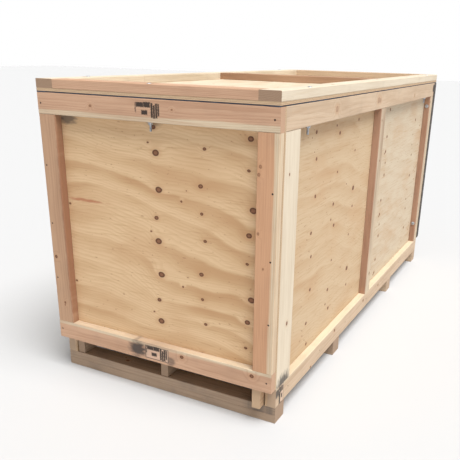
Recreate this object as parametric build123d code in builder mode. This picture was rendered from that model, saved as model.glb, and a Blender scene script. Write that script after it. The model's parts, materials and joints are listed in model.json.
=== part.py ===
from build123d import *
import os

# A bolted plywood and lumber shipping crate. The long axis is Y, the nailed end
# panel stands at -Y, the removable end panel at +Y, and Z = 0 is the ground under
# the skids. The origin lies under the middle of the crate with its bolts, whose
# tails stand out past the removable end. All sizes are in millimetres.

# Stock sizes
lumber_thickness = 38
lumber_width = 89
corner_post_width = 140
edge_easing = 3
panel_ply = 12
floor_ply = 18

# Overall sizes
crate_width = 1136
crate_length = 2692
side_wall_height = 1238
end_panel_clearance = 6

# Base
inner_skid_offset = 524.5
stringer_gap = 6
stringer_end_gap = 5
right_stringer_recess = 13
floor_gap = 2

# Lid
lid_gasket_thickness = 5
cross_cleat_offset = 110
left_cleat_joint = 640

# Seals of the removable end
rear_gasket_thickness = 4
strip_thickness = 3
strip_corner_radius = 12
tab_reach = 34
tab_height = 46
tab_drop = 12

# M10 bolts, washers and nuts: low domed heads on the lid, hexagon heads at the end
bolt_radius = 5
bolt_length = 180
dome_radius = 10
dome_height = 3
bolt_clearance = 0.5
head_width = 17
head_height = 6.4
washer_radius = 12.5
washer_thickness = 2
nut_height = 8
thread_clearance = 0.05
washer_clearance = 0.5
lid_bolt_front_inset = 305
lid_bolt_rear_inset = 262
rear_bolt_top_drop = 155
rear_bolt_base_rise = 229

# Nails
nail_radius = 1.9
nail_head_radius = 4.2
nail_head_height = 1.2
nail_set = 1.3
nail_clearance = 0.05
nail_length = 90
skid_nail_length = 140
left_panel_nail_inset = 15
right_panel_nail_inset = 23
panel_nail_count = 5
wall_nail_count = 7
wall_nail_end_inset = 130
skid_nail_spread = 25

# Planes of the assembly, worked out from the sizes above
panel_depth = lumber_thickness + panel_ply
rear_grip = lumber_width + rear_gasket_thickness + panel_depth
rear_tail = bolt_length - washer_thickness - rear_grip
half_width = crate_width / 2
front_face = -(crate_length + rear_tail) / 2
rear_face = front_face + crate_length
ply_outer = half_width - lumber_thickness
ply_inner = ply_outer - panel_ply
wall_front = front_face + panel_depth
wall_rear = rear_face - panel_depth - rear_gasket_thickness
wall_middle = (wall_front + wall_rear) / 2
skid_top = 2 * lumber_thickness
stringer_top = skid_top + lumber_width
floor_top = stringer_top + floor_ply
wall_top = skid_top + side_wall_height
top_rail_bottom = wall_top - lumber_width
end_bottom = stringer_top + end_panel_clearance
end_panel_height = wall_top - end_bottom
end_rail_top = end_bottom + lumber_width
front_ply_outer = front_face + lumber_thickness
rear_ply_outer = rear_face - lumber_thickness
rear_panel_inner = rear_face - panel_depth
lid_ply_bottom = wall_top + lid_gasket_thickness
lid_ply_top = lid_ply_bottom + panel_ply
lid_top = lid_ply_top + lumber_thickness
post_centre = half_width - lumber_thickness / 2
stringer_outer = ply_inner - stringer_gap
stringer_inner = stringer_outer - lumber_thickness
head_seat_depth = nail_set + nail_head_height
wall_nail_height = skid_top + lumber_width / 2
bolt_hole_radius = bolt_radius + bolt_clearance

os.makedirs("parts", exist_ok=True)


def save(piece, label):
    """Label a finished piece and write it to its own STEP file."""
    piece.label = label
    export_step(piece, f"parts/{label}.step")


def mirrored_span(span):
    """Return a span on the other side of the middle plane."""
    return (-span[1], -span[0])


def block(spans):
    """Draw and extrude a box that fills the X, Y and Z spans, in the open part."""
    (x_low, x_high), (y_low, y_high), (z_low, z_high) = spans
    with BuildSketch(Plane.XY.offset(z_low)) as footprint:
        with Locations(((x_low + x_high) / 2, (y_low + y_high) / 2)):
            Rectangle(x_high - x_low, y_high - y_low)
    extrude(footprint.sketch, amount=z_high - z_low)


def drill(planes, radius, depth=None):
    """Bore the open part at each plane, along its normal, or right through it."""
    for plane in planes:
        with BuildSketch(plane) as hole:
            Circle(radius)
        if depth is None:
            extrude(hole.sketch, amount=crate_length, both=True, mode=Mode.SUBTRACT)
        else:
            extrude(hole.sketch, amount=depth, mode=Mode.SUBTRACT)


def drill_nails(nails, length=nail_length):
    """Bore the open part for the shanks and set heads of the nails through it."""
    drill(nails, nail_radius + nail_clearance, depth=length + nail_set)
    drill(nails, nail_head_radius + nail_clearance, depth=head_seat_depth)


def board(label, spans, grain, bolts=(), nails=()):
    """Make one sawn board with eased long edges, bored for what passes through it."""
    with BuildPart() as piece:
        block(spans)
        fillet(piece.edges().filter_by(grain), radius=edge_easing)
        drill(bolts, bolt_hole_radius)
        drill_nails(nails)
    save(piece.part, label)


def sheet(label, spans, bolts=(), nails=()):
    """Make one square-edged plywood sheet, bored for what passes through it."""
    with BuildPart() as piece:
        block(spans)
        drill(bolts, bolt_hole_radius)
        drill_nails(nails)
    save(piece.part, label)


# Axes of the fasteners: each plane's normal points the way the fastener goes in.
lid_bolt_rows = (front_face + lid_bolt_front_inset, rear_face - lid_bolt_rear_inset)


def down_from_lid(x, y):
    """Return the plane of a bolt that goes down through the lid's top face."""
    return Plane(origin=(x, y, lid_top), z_dir=(0, 0, -1))


left_lid_bolts = [down_from_lid(-post_centre, y) for y in lid_bolt_rows]
right_lid_bolts = [down_from_lid(post_centre, y) for y in lid_bolt_rows]
front_lid_bolts = [down_from_lid(0, front_face + lumber_thickness / 2)]
lid_bolt_planes = left_lid_bolts + right_lid_bolts + front_lid_bolts


def through_rear_post(x, height):
    """Return the plane of a bolt that goes rearward through a rear post."""
    return Plane(origin=(x, wall_rear - lumber_width, height), z_dir=(0, 1, 0))


rear_bolt_heights = (wall_top - rear_bolt_top_drop, skid_top + rear_bolt_base_rise)
left_rear_bolts = [through_rear_post(-post_centre, height) for height in rear_bolt_heights]
right_rear_bolts = [through_rear_post(post_centre, height) for height in rear_bolt_heights]
rear_bolt_planes = left_rear_bolts + right_rear_bolts


panel_nail_pitch = (end_panel_height - lumber_width) / (panel_nail_count - 1)
panel_nail_rows = [
    wall_top - lumber_width / 2 - step * panel_nail_pitch for step in range(panel_nail_count)
]


def panel_nail_planes(x):
    """Return the nails down one edge of the front panel, from rail middle to rail middle."""
    return [Plane(origin=(x, front_face, height), z_dir=(0, 1, 0)) for height in panel_nail_rows]


left_panel_nails = panel_nail_planes(left_panel_nail_inset - half_width)
right_panel_nails = panel_nail_planes(half_width - right_panel_nail_inset)

wall_nail_pitch = (wall_rear - wall_front - 2 * wall_nail_end_inset) / (wall_nail_count - 1)
wall_nail_rows = [
    wall_front + wall_nail_end_inset + step * wall_nail_pitch for step in range(wall_nail_count)
]


def wall_nail_planes(side):
    """Return the nails through one side wall's bottom rail into its stringer."""
    return [
        Plane(origin=(side * half_width, y, wall_nail_height), z_dir=(-side, 0, 0))
        for y in wall_nail_rows
    ]


left_wall_nails = wall_nail_planes(-1)
right_wall_nails = wall_nail_planes(1)

skid_centres = (
    wall_front + lumber_width / 2,
    wall_middle - inner_skid_offset,
    wall_middle + inner_skid_offset,
    wall_rear - lumber_width / 2,
)
stringer_centres = {
    "left": -(stringer_outer + stringer_inner) / 2,
    "middle": 0,
    "right": (stringer_outer + stringer_inner) / 2,
}


def skid_nail_planes(skid_rows, x_centres):
    """Return the nails up through the skids, two at each crossing of a stringer."""
    return [
        Plane(origin=(x, y + side * skid_nail_spread, 0), z_dir=(0, 0, 1))
        for y in skid_rows
        for x in x_centres
        for side in (-1, 1)
    ]


# Base: four cross skids of two boards each, three stringers and a floor deck
for number, y in enumerate(skid_centres, start=1):
    skid_row = (y - lumber_width / 2, y + lumber_width / 2)
    skid_nails = skid_nail_planes([y], stringer_centres.values())

    with BuildPart() as lower_skid_board:
        block(((-half_width, half_width), skid_row, (0, lumber_thickness)))
        fillet(lower_skid_board.edges().filter_by(Axis.X), radius=edge_easing)
        drill_nails(skid_nails, skid_nail_length)
    save(lower_skid_board.part, f"skid_{number}_lower_board")

    with BuildPart() as upper_skid_board:
        block(((-half_width, half_width), skid_row, (lumber_thickness, skid_top)))
        fillet(upper_skid_board.edges().filter_by(Axis.X), radius=edge_easing)
        drill_nails(skid_nails, skid_nail_length)
    save(upper_skid_board.part, f"skid_{number}_upper_board")

stringer_rows = {
    "left": (wall_front + stringer_end_gap, wall_rear - stringer_end_gap),
    "middle": (wall_front + stringer_end_gap, wall_rear - stringer_end_gap),
    "right": (front_face + right_stringer_recess, rear_face - right_stringer_recess),
}
stringer_nails = {"left": left_wall_nails, "middle": [], "right": right_wall_nails}
for side, x in stringer_centres.items():
    with BuildPart() as stringer:
        block((
            (x - lumber_thickness / 2, x + lumber_thickness / 2),
            stringer_rows[side],
            (skid_top, stringer_top),
        ))
        fillet(stringer.edges().filter_by(Axis.Y), radius=edge_easing)
        drill_nails(skid_nail_planes(skid_centres, [x]), skid_nail_length)
        drill_nails(stringer_nails[side])
    save(stringer.part, f"{side}_stringer")

floor_half_width = ply_inner - floor_gap
floor_span = (-floor_half_width, floor_half_width)
floor_depth = (stringer_top, floor_top)
sheet("floor_front_sheet", (floor_span, (wall_front, wall_middle), floor_depth))
sheet("floor_rear_sheet", (floor_span, (wall_middle, wall_rear), floor_depth))


def side_wall(name, place, lid_bolts, rear_bolts, panel_nails, wall_nails):
    """Make one side wall: two plywood sheets, two rails and three posts outside them."""
    frame = place((ply_outer, half_width))
    skin = place((ply_inner, ply_outer))
    wall_row = (wall_front, wall_rear)
    middle_row = (wall_middle - lumber_width / 2, wall_middle + lumber_width / 2)
    post_height = (stringer_top, top_rail_bottom)
    skin_height = (skid_top, wall_top)
    front_nails = [nail for nail in wall_nails if nail.origin.Y < wall_middle]
    joint_nails = [nail for nail in wall_nails if abs(nail.origin.Y - wall_middle) < 1]
    rear_nails = [nail for nail in wall_nails if nail.origin.Y > wall_middle]

    sheet(f"{name}_wall_front_sheet", (skin, (wall_front, wall_middle), skin_height),
          nails=front_nails + joint_nails)
    sheet(f"{name}_wall_rear_sheet", (skin, (wall_middle, wall_rear), skin_height),
          nails=rear_nails + joint_nails)
    board(f"{name}_top_rail", (frame, wall_row, (top_rail_bottom, wall_top)), Axis.Y,
          bolts=lid_bolts, nails=panel_nails[:1])
    board(f"{name}_bottom_rail", (frame, wall_row, (skid_top, stringer_top)), Axis.Y,
          nails=wall_nails)
    board(f"{name}_front_post", (frame, (wall_front, wall_front + corner_post_width), post_height),
          Axis.Z, nails=panel_nails[1:])
    board(f"{name}_middle_post", (frame, middle_row, post_height), Axis.Z)
    board(f"{name}_rear_post", (frame, (wall_rear - lumber_width, wall_rear), post_height),
          Axis.Z, bolts=rear_bolts)


side_wall("left", mirrored_span, left_lid_bolts, left_rear_bolts, left_panel_nails,
          left_wall_nails)
side_wall("right", tuple, right_lid_bolts, right_rear_bolts, right_panel_nails,
          right_wall_nails)


def end_panel(name, frame, skin, lid_bolts=(), left_bolts=(), right_bolts=(), left_nails=(),
              right_nails=()):
    """Make one end panel: a plywood sheet with two rails and two stiles outside it."""
    full_width = (-half_width, half_width)
    left_stile = (-half_width, -half_width + lumber_width)
    stile_height = (end_rail_top, top_rail_bottom)

    sheet(f"{name}_sheet", (full_width, skin, (end_bottom, wall_top)),
          bolts=[*left_bolts, *right_bolts], nails=[*left_nails, *right_nails])
    board(f"{name}_top_rail", (full_width, frame, (top_rail_bottom, wall_top)), Axis.X,
          bolts=lid_bolts, nails=[*left_nails[:1], *right_nails[:1]])
    board(f"{name}_bottom_rail", (full_width, frame, (end_bottom, end_rail_top)), Axis.X,
          nails=[*left_nails[-1:], *right_nails[-1:]])
    board(f"{name}_left_stile", (left_stile, frame, stile_height), Axis.Z,
          bolts=left_bolts, nails=left_nails[1:-1])
    board(f"{name}_right_stile", (mirrored_span(left_stile), frame, stile_height), Axis.Z,
          bolts=right_bolts, nails=right_nails[1:-1])


end_panel("front_panel", (front_face, front_ply_outer), (front_ply_outer, wall_front),
          lid_bolts=front_lid_bolts, left_nails=left_panel_nails, right_nails=right_panel_nails)
end_panel("rear_panel", (rear_ply_outer, rear_face), (rear_panel_inner, rear_ply_outer),
          left_bolts=left_rear_bolts, right_bolts=right_rear_bolts)

# Seals of the removable end: a U-shaped foam gasket and a rubber strip down each edge
with BuildPart() as rear_gasket:
    with BuildSketch(Plane.XZ.offset(-rear_panel_inner)):
        with Locations((0, (end_bottom + wall_top) / 2)):
            Rectangle(crate_width, end_panel_height)
        with Locations((0, (floor_top + wall_top) / 2)):
            Rectangle(2 * ply_inner, wall_top - floor_top, mode=Mode.SUBTRACT)
    extrude(amount=rear_gasket_thickness)
    drill(rear_bolt_planes, bolt_hole_radius)
save(rear_gasket.part, "rear_gasket")

for side, x_face in (("left", -half_width - strip_thickness), ("right", half_width)):
    with BuildPart() as edge_strip:
        with BuildSketch(Plane.YZ.offset(x_face)):
            with BuildLine():
                Polyline(
                    (wall_rear, end_bottom),
                    (rear_face, end_bottom),
                    (rear_face, wall_top),
                    (wall_rear, wall_top),
                    (wall_rear, wall_top - tab_drop),
                    (wall_rear - tab_reach, wall_top - tab_drop),
                    (wall_rear - tab_reach, wall_top - tab_drop - tab_height),
                    (wall_rear, wall_top - tab_drop - tab_height),
                    close=True,
                )
            make_face()
            strip_ends = [
                corner for corner in vertices()
                if corner.Z < end_bottom + 1 or corner.Y < wall_rear - 1
            ]
            fillet(strip_ends, radius=strip_corner_radius)
        extrude(amount=strip_thickness)
    save(edge_strip.part, f"rear_{side}_edge_strip")

# Lid: two plywood sheets on a foam gasket, under cleats laid flat
cross_cleat_centre = wall_middle + cross_cleat_offset
lid_joint = cross_cleat_centre
cleat_height = (lid_ply_top, lid_top)
lid_width = (-half_width, half_width)
lid_ply_height = (lid_ply_bottom, lid_ply_top)
inner_cleat_span = (-half_width + lumber_width, half_width - lumber_width)
left_cleat_span = (-half_width, -half_width + lumber_width)
left_joint_row = front_face + left_cleat_joint

sheet("lid_front_sheet", (lid_width, (front_face, lid_joint), lid_ply_height),
      bolts=front_lid_bolts + left_lid_bolts[:1] + right_lid_bolts[:1])
sheet("lid_rear_sheet", (lid_width, (lid_joint, rear_face), lid_ply_height),
      bolts=left_lid_bolts[1:] + right_lid_bolts[1:])
board("lid_left_front_cleat", (left_cleat_span, (front_face, left_joint_row), cleat_height),
      Axis.Y, bolts=left_lid_bolts[:1])
board("lid_left_rear_cleat", (left_cleat_span, (left_joint_row, rear_face), cleat_height),
      Axis.Y, bolts=left_lid_bolts[1:])
board("lid_right_cleat",
      (mirrored_span(left_cleat_span), (front_face, rear_face), cleat_height),
      Axis.Y, bolts=right_lid_bolts)

front_cleat_row = (front_face, front_face + lumber_width)
rear_cleat_row = (rear_face - lumber_width, rear_face)
cross_cleat_row = (cross_cleat_centre - lumber_width / 2, cross_cleat_centre + lumber_width / 2)
board("lid_front_cleat", (inner_cleat_span, front_cleat_row, cleat_height), Axis.X,
      bolts=front_lid_bolts)
board("lid_rear_cleat", (inner_cleat_span, rear_cleat_row, cleat_height), Axis.X)
board("lid_cross_cleat", (inner_cleat_span, cross_cleat_row, cleat_height), Axis.X)

with BuildPart() as lid_gasket:
    with BuildSketch(Plane.XY.offset(wall_top)):
        with Locations((0, (front_face + rear_face) / 2)):
            Rectangle(crate_width, crate_length)
            Rectangle(crate_width - 2 * panel_depth, crate_length - 2 * panel_depth,
                      mode=Mode.SUBTRACT)
    extrude(amount=lid_gasket_thickness)
    drill(lid_bolt_planes, bolt_hole_radius)
save(lid_gasket.part, "lid_gasket")


# Fasteners: identical ones share a node as separate solids
def lifted(plane, distance):
    """Return the plane moved against the way its fastener goes in."""
    return plane.offset(-distance)


def washer_set(label, planes):
    """Make one washer on each plane, on the side that its fastener goes towards."""
    with BuildPart() as washers:
        for plane in planes:
            with BuildSketch(plane):
                Circle(washer_radius)
                Circle(bolt_radius + washer_clearance, mode=Mode.SUBTRACT)
            extrude(amount=washer_thickness)
    save(washers.part, label)


def nut_set(label, planes):
    """Make one nut on each plane, on the side that its fastener goes towards."""
    with BuildPart() as nuts:
        for plane in planes:
            with BuildSketch(plane):
                RegularPolygon(head_width / 2, 6, major_radius=False)
                Circle(bolt_radius + thread_clearance, mode=Mode.SUBTRACT)
            extrude(amount=nut_height)
    save(nuts.part, label)


# Lid fasteners: the domed heads bear straight on the cleats
with BuildPart() as lid_bolts:
    for plane in lid_bolt_planes:
        with BuildSketch(plane):
            Circle(bolt_radius)
        extrude(amount=bolt_length)
        with BuildSketch(lifted(plane, dome_height)):
            Circle(dome_radius)
        extrude(amount=dome_height)
    dome_rims = [
        rim for rim in lid_bolts.edges().filter_by(GeomType.CIRCLE)
        if rim.radius == dome_radius and rim.center().Z > lid_top + dome_height / 2
    ]
    chamfer(dome_rims, length=dome_height * 2 / 3, length2=dome_radius / 2)
save(lid_bolts.part, "lid_bolts")

lid_nut_seats = [plane.offset(lid_top - top_rail_bottom) for plane in lid_bolt_planes]
washer_set("lid_nut_washers", lid_nut_seats)
nut_set("lid_nuts", [lifted(seat, -washer_thickness) for seat in lid_nut_seats])

# Removable end fasteners: hexagon heads on washers, nuts on washers outside the panel
with BuildPart() as rear_panel_bolts:
    for plane in rear_bolt_planes:
        with BuildSketch(lifted(plane, washer_thickness + head_height)):
            RegularPolygon(head_width / 2, 6, major_radius=False)
        extrude(amount=head_height)
        with BuildSketch(lifted(plane, washer_thickness)):
            Circle(bolt_radius)
        extrude(amount=bolt_length)
save(rear_panel_bolts.part, "rear_panel_bolts")

rear_nut_seats = [plane.offset(rear_grip) for plane in rear_bolt_planes]
washer_set("rear_panel_head_washers", [lifted(plane, washer_thickness) for plane in rear_bolt_planes])
washer_set("rear_panel_nut_washers", rear_nut_seats)
nut_set("rear_panel_nuts", [lifted(seat, -washer_thickness) for seat in rear_nut_seats])


def nail_set_node(label, planes, length):
    """Make nails whose heads are set below the face that they were driven through."""
    with BuildPart() as nails:
        for plane in planes:
            with BuildSketch(plane.offset(nail_set)):
                Circle(nail_head_radius)
            extrude(amount=nail_head_height)
            with BuildSketch(plane.offset(nail_set)):
                Circle(nail_radius)
            extrude(amount=length)
    save(nails.part, label)


nail_set_node("front_panel_nails", left_panel_nails + right_panel_nails, nail_length)
nail_set_node("side_wall_nails", left_wall_nails + right_wall_nails, nail_length)
nail_set_node("skid_nails", skid_nail_planes(skid_centres, stringer_centres.values()),
              skid_nail_length)
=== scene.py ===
"""Visual model of a long bolted plywood and lumber shipping crate on cross skids."""

from __future__ import annotations

import json
import logging
import math
import random
from dataclasses import dataclass, field
from enum import Enum
from typing import Any, Optional, Sequence, Union

import bmesh
import bpy
from mathutils import Matrix, Vector

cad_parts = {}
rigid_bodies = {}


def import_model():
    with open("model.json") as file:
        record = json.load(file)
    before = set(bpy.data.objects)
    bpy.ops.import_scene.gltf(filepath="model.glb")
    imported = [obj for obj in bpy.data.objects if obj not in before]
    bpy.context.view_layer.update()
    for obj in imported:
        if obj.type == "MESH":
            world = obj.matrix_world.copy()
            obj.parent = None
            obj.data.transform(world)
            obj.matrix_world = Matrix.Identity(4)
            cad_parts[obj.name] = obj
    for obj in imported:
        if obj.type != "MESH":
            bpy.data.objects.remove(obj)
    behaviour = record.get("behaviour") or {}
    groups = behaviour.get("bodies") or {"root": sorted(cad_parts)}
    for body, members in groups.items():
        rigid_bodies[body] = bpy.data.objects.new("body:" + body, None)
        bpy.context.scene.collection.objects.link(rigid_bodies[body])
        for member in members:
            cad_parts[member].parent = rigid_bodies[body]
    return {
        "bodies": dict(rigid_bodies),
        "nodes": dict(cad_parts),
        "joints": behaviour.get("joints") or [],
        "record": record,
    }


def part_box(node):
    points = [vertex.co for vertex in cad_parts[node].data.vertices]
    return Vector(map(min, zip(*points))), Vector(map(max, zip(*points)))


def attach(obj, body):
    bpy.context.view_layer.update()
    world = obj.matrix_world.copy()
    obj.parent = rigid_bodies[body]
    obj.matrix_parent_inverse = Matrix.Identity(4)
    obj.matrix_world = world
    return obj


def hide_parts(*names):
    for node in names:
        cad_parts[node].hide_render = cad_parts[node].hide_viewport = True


log = logging.getLogger("crate")

Colour = tuple[float, float, float]
Number = Union["Value", float, int]


class Grain(Enum):
    """The axis that the fibres of a board or of a sheet's face veneer follow."""

    CROSSWISE = 0
    LENGTHWISE = 1
    UPRIGHT = 2


class Tone(Enum):
    """Body and latewood colours of one kind of board."""

    ROSY = ((0.560, 0.352, 0.232), (0.400, 0.218, 0.130))
    CLAY = ((0.475, 0.295, 0.185), (0.345, 0.192, 0.112))
    AMBER = ((0.570, 0.325, 0.190), (0.440, 0.222, 0.120))
    RUSSET = ((0.430, 0.258, 0.172), (0.255, 0.125, 0.075))
    TAN = ((0.590, 0.447, 0.315), (0.455, 0.300, 0.185))
    HONEY = ((0.650, 0.460, 0.290), (0.480, 0.290, 0.165))
    PALE = ((0.690, 0.597, 0.465), (0.575, 0.445, 0.300))
    # darker tone for boards under the crate: weathered wood on the skids, with painted shade on the skids
    # and stringers beneath the panel
    DUSTY_AND_SHADED = ((0.390, 0.282, 0.198), (0.255, 0.172, 0.112))


SAPWOOD: Colour = (0.640, 0.540, 0.385)
KNOT_CORE: Colour = (0.230, 0.105, 0.055)
KNOT_RIM: Colour = (0.085, 0.032, 0.018)
KNOT_HALO: Colour = (0.500, 0.270, 0.140)
END_GRAIN: Colour = (0.330, 0.215, 0.140)
CRACK_DARK: Colour = (0.050, 0.028, 0.018)
INK_BLACK: Colour = (0.016, 0.014, 0.014)
SOOT_GREY: Colour = (0.050, 0.044, 0.042)

# In metres: how near an end a face counts as cut across, how near corners are the same
# corner, and how large a thread's ridge is
END_BAND = 0.0005
WELD = 0.000005
RIDGE = 0.00042


class Value:
    """A number socket of a node tree that takes part in ordinary arithmetic."""

    def __init__(self, recipe: "Bench", socket: bpy.types.NodeSocket) -> None:
        """Wrap a socket.

        Args:
            recipe: The bench whose node tree holds the socket.
            socket: The output socket that gives the number.
        """
        self.recipe = recipe
        self.socket = socket

    def _with(self, operation: str, first: Number, second: Optional[Number] = None) -> "Value":
        """Add one Math node.

        Args:
            operation: The Math node's operation.
            first: Its first input.
            second: Its second input, if it has one.

        Returns:
            The node's result.
        """
        inputs = {0: first} if second is None else {0: first, 1: second}
        node = self.recipe.node("ShaderNodeMath", {"operation": operation}, inputs)
        return Value(self.recipe, node.outputs[0])

    def __add__(self, other: Number) -> "Value":
        """Sum."""
        return self._with("ADD", self, other)

    __radd__ = __add__

    def __sub__(self, other: Number) -> "Value":
        """Difference."""
        return self._with("SUBTRACT", self, other)

    def __rsub__(self, other: Number) -> "Value":
        """Difference from a plain number."""
        return self._with("SUBTRACT", other, self)

    def __mul__(self, other: Number) -> "Value":
        """Product."""
        return self._with("MULTIPLY", self, other)

    __rmul__ = __mul__

    def __truediv__(self, other: Number) -> "Value":
        """Quotient."""
        return self._with("DIVIDE", self, other)

    def __pow__(self, other: Number) -> "Value":
        """Power."""
        return self._with("POWER", self, other)

    def __abs__(self) -> "Value":
        """Size without sign."""
        return self._with("ABSOLUTE", self)

    def __gt__(self, other: Number) -> "Value":
        """1 where this is the greater, else 0."""
        return self._with("GREATER_THAN", self, other)

    def fraction(self) -> "Value":
        """The part after the whole number."""
        return self._with("FRACT", self)

    def root(self) -> "Value":
        """Square root."""
        return self._with("SQRT", self)

    def least(self, other: Number) -> "Value":
        """The smaller of two."""
        return self._with("MINIMUM", self, other)

    def most(self, other: Number) -> "Value":
        """The larger of two."""
        return self._with("MAXIMUM", self, other)

    def rise(self, low: float, high: float) -> "Value":
        """A smooth step from 0 at low to 1 at high.

        Args:
            low: Where the step starts.
            high: Where the step ends.

        Returns:
            The step, between 0 and 1.
        """
        node = self.recipe.node(
            "ShaderNodeMapRange",
            {"interpolation_type": "SMOOTHSTEP", "clamp": True},
            {"Value": self, "From Min": low, "From Max": high},
        )
        return Value(self.recipe, node.outputs[0])

    def fall(self, low: float, high: float) -> "Value":
        """A smooth step from 1 at low to 0 at high."""
        return 1 - self.rise(low, high)


class Bench:
    """A node tree and the one method that adds nodes to it."""

    def __init__(self, tree: bpy.types.NodeTree) -> None:
        """Take a tree.

        Args:
            tree: The tree that the nodes go into.
        """
        self.tree = tree

    def node(self, kind: str, settings: dict[str, Any], values: dict[Any, Any]) -> bpy.types.Node:
        """Add a node, set it up and feed its sockets.

        Args:
            kind: The node's type.
            settings: Its properties, set before its sockets.
            values: What each input socket takes: a Value, a socket or a constant.

        Returns:
            The new node.
        """
        made = self.tree.nodes.new(kind)
        for key, setting in settings.items():
            setattr(made, key, setting)
        for key, value in values.items():
            if isinstance(value, Value):
                value = value.socket
            if isinstance(value, bpy.types.NodeSocket):
                self.tree.links.new(value, made.inputs[key])
            elif isinstance(value, tuple) and made.inputs[key].type == "RGBA":
                made.inputs[key].default_value = (*value, 1.0)
            else:
                made.inputs[key].default_value = value
        return made

    def vector(self, x: Number, y: Number, z: Number = 0.0) -> bpy.types.NodeSocket:
        """Join three numbers into a vector."""
        return self.node("ShaderNodeCombineXYZ", {}, {0: x, 1: y, 2: z}).outputs[0]


class Recipe(Bench):
    """One material and the nodes that mix it."""

    def __init__(self, name: str) -> None:
        """Start an empty material.

        Args:
            name: The material's name.
        """
        self.material = bpy.data.materials.new(name)
        self.material.use_nodes = True
        super().__init__(self.material.node_tree)
        self.tree.nodes.clear()
        self.object_place = self.node("ShaderNodeTexCoord", {}, {}).outputs["Object"]

    def place(self, extent: "Extent") -> list[Value]:
        """The point on the piece, from the piece's centre, as three numbers."""
        split = self.node("ShaderNodeSeparateXYZ", {}, {0: self.object_place})
        return [Value(self, split.outputs[axis]) - extent.centre[axis] for axis in range(3)]

    def noise(self, spot: bpy.types.NodeSocket, detail: float = 2.0) -> Value:
        """Soft noise around 0.5 at a spot whose unit is one grain of the noise.

        Args:
            spot: Where to read it.
            detail: How many finer octaves it has.

        Returns:
            The noise.
        """
        made = self.node("ShaderNodeTexNoise", {}, {"Vector": spot, "Scale": 1.0, "Detail": detail})
        return Value(self, made.outputs[0])

    def mix(self, share: Number, first: Any, second: Any, way: str = "MIX") -> bpy.types.NodeSocket:
        """Mix two colours.

        Args:
            share: How much of the second colour.
            first: The colour at share 0.
            second: The colour at share 1.
            way: The Mix node's blend type.

        Returns:
            The mixed colour.
        """
        made = self.node(
            "ShaderNodeMix",
            {"data_type": "RGBA", "blend_type": way, "clamp_factor": True},
            {0: share, 6: first, 7: second},
        )
        return made.outputs[2]

    def finish(self, colour: Any, roughness: Number, height: Optional[Value] = None,
               relief: float = 0.0, metallic: float = 0.0) -> bpy.types.Material:
        """Close the material with a surface shader.

        Args:
            colour: Base colour.
            roughness: Roughness.
            height: Surface height, from 0 to 1.
            relief: How far a height of 1 stands out, in metres.
            metallic: 1 on metal.

        Returns:
            The finished material.
        """
        surface = self.node(
            "ShaderNodeBsdfPrincipled",
            {},
            {"Base Color": colour, "Roughness": roughness, "Metallic": metallic,
             "Specular IOR Level": 0.5 if metallic else 0.25},
        )
        if height is not None:
            bump = self.node("ShaderNodeBump", {},
                             {"Height": height, "Distance": relief, "Strength": 1.0})
            self.tree.links.new(bump.outputs[0], surface.inputs["Normal"])
        self.node("ShaderNodeOutputMaterial", {}, {"Surface": surface.outputs[0]})
        return self.material


@dataclass(frozen=True)
class Extent:
    """The box that a piece fills: its centre and half sizes, in metres."""

    centre: Vector
    half: Vector

    @classmethod
    def of(cls, node: str) -> "Extent":
        """The extent of one frame node."""
        low, high = (Vector(corner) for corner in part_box(node))
        return cls((low + high) / 2, (high - low) / 2)


@dataclass(frozen=True)
class Knot:
    """A knot on a wide face, placed from the piece's centre."""

    along: float
    across: float
    radius: float


@dataclass(frozen=True)
class Whorls:
    """Rings of branches at even steps up a log, which rotary-cut veneer meets once each turn."""

    first: float
    step: float
    count: int
    branches: int = 3
    radius: float = 0.009

    def knots(self, seed: int, turn: float, turn_start: float) -> tuple[Knot, ...]:
        """Set each ring's branches evenly round the log, each a little out of place.

        Args:
            seed: Names the log.
            turn: The length of one turn of veneer.
            turn_start: Where the first turn starts.

        Returns:
            The knots of one turn.
        """
        dice = random.Random(seed * 29)
        places = []
        for ring in range(self.count):
            lead = dice.random()
            for branch in range(self.branches):
                share = ((branch + lead + dice.uniform(-0.22, 0.22)) / self.branches) % 1.0
                places.append(Knot(
                    self.first + ring * self.step + dice.uniform(-0.018, 0.018),
                    turn_start + turn * (0.06 + 0.88 * share),
                    self.radius * dice.uniform(0.55, 1.30)))
        return tuple(places)


@dataclass(frozen=True)
class Split:
    """A straight dark split on a wide face, from one point to another."""

    start: tuple[float, float]
    end: tuple[float, float]
    width: float = 0.0012


@dataclass(frozen=True)
class StainAndShade:
    """A soft patch of another colour on a face: real dirt and stains on some boards, painted shade and
    painted shadow on others.
    """

    along: float
    across: float
    reach_along: float
    reach_across: float
    strength: float = 0.9
    colour: Colour = SOOT_GREY


@dataclass(frozen=True)
class InkMark:
    """A generic stencilled mark of plain blocks, with no letters."""

    along: float
    across: float
    size: float = 0.10
    turned: bool = False
    backing: bool = False

    # Each block's middle, height, width and depth, as shares of the mark's size
    BARS = (
        (-0.34, 0.20, 0.32, 0.16), (-0.02, 0.21, 0.30, 0.18), (-0.14, -0.07, 0.26, 0.15),
        (0.20, 0.02, 0.08, 0.52), (0.30, -0.03, 0.08, 0.46), (0.40, 0.01, 0.08, 0.52),
        (0.49, 0.05, 0.06, 0.42), (-0.54, 0.10, 0.03, 0.34),
    )


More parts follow.
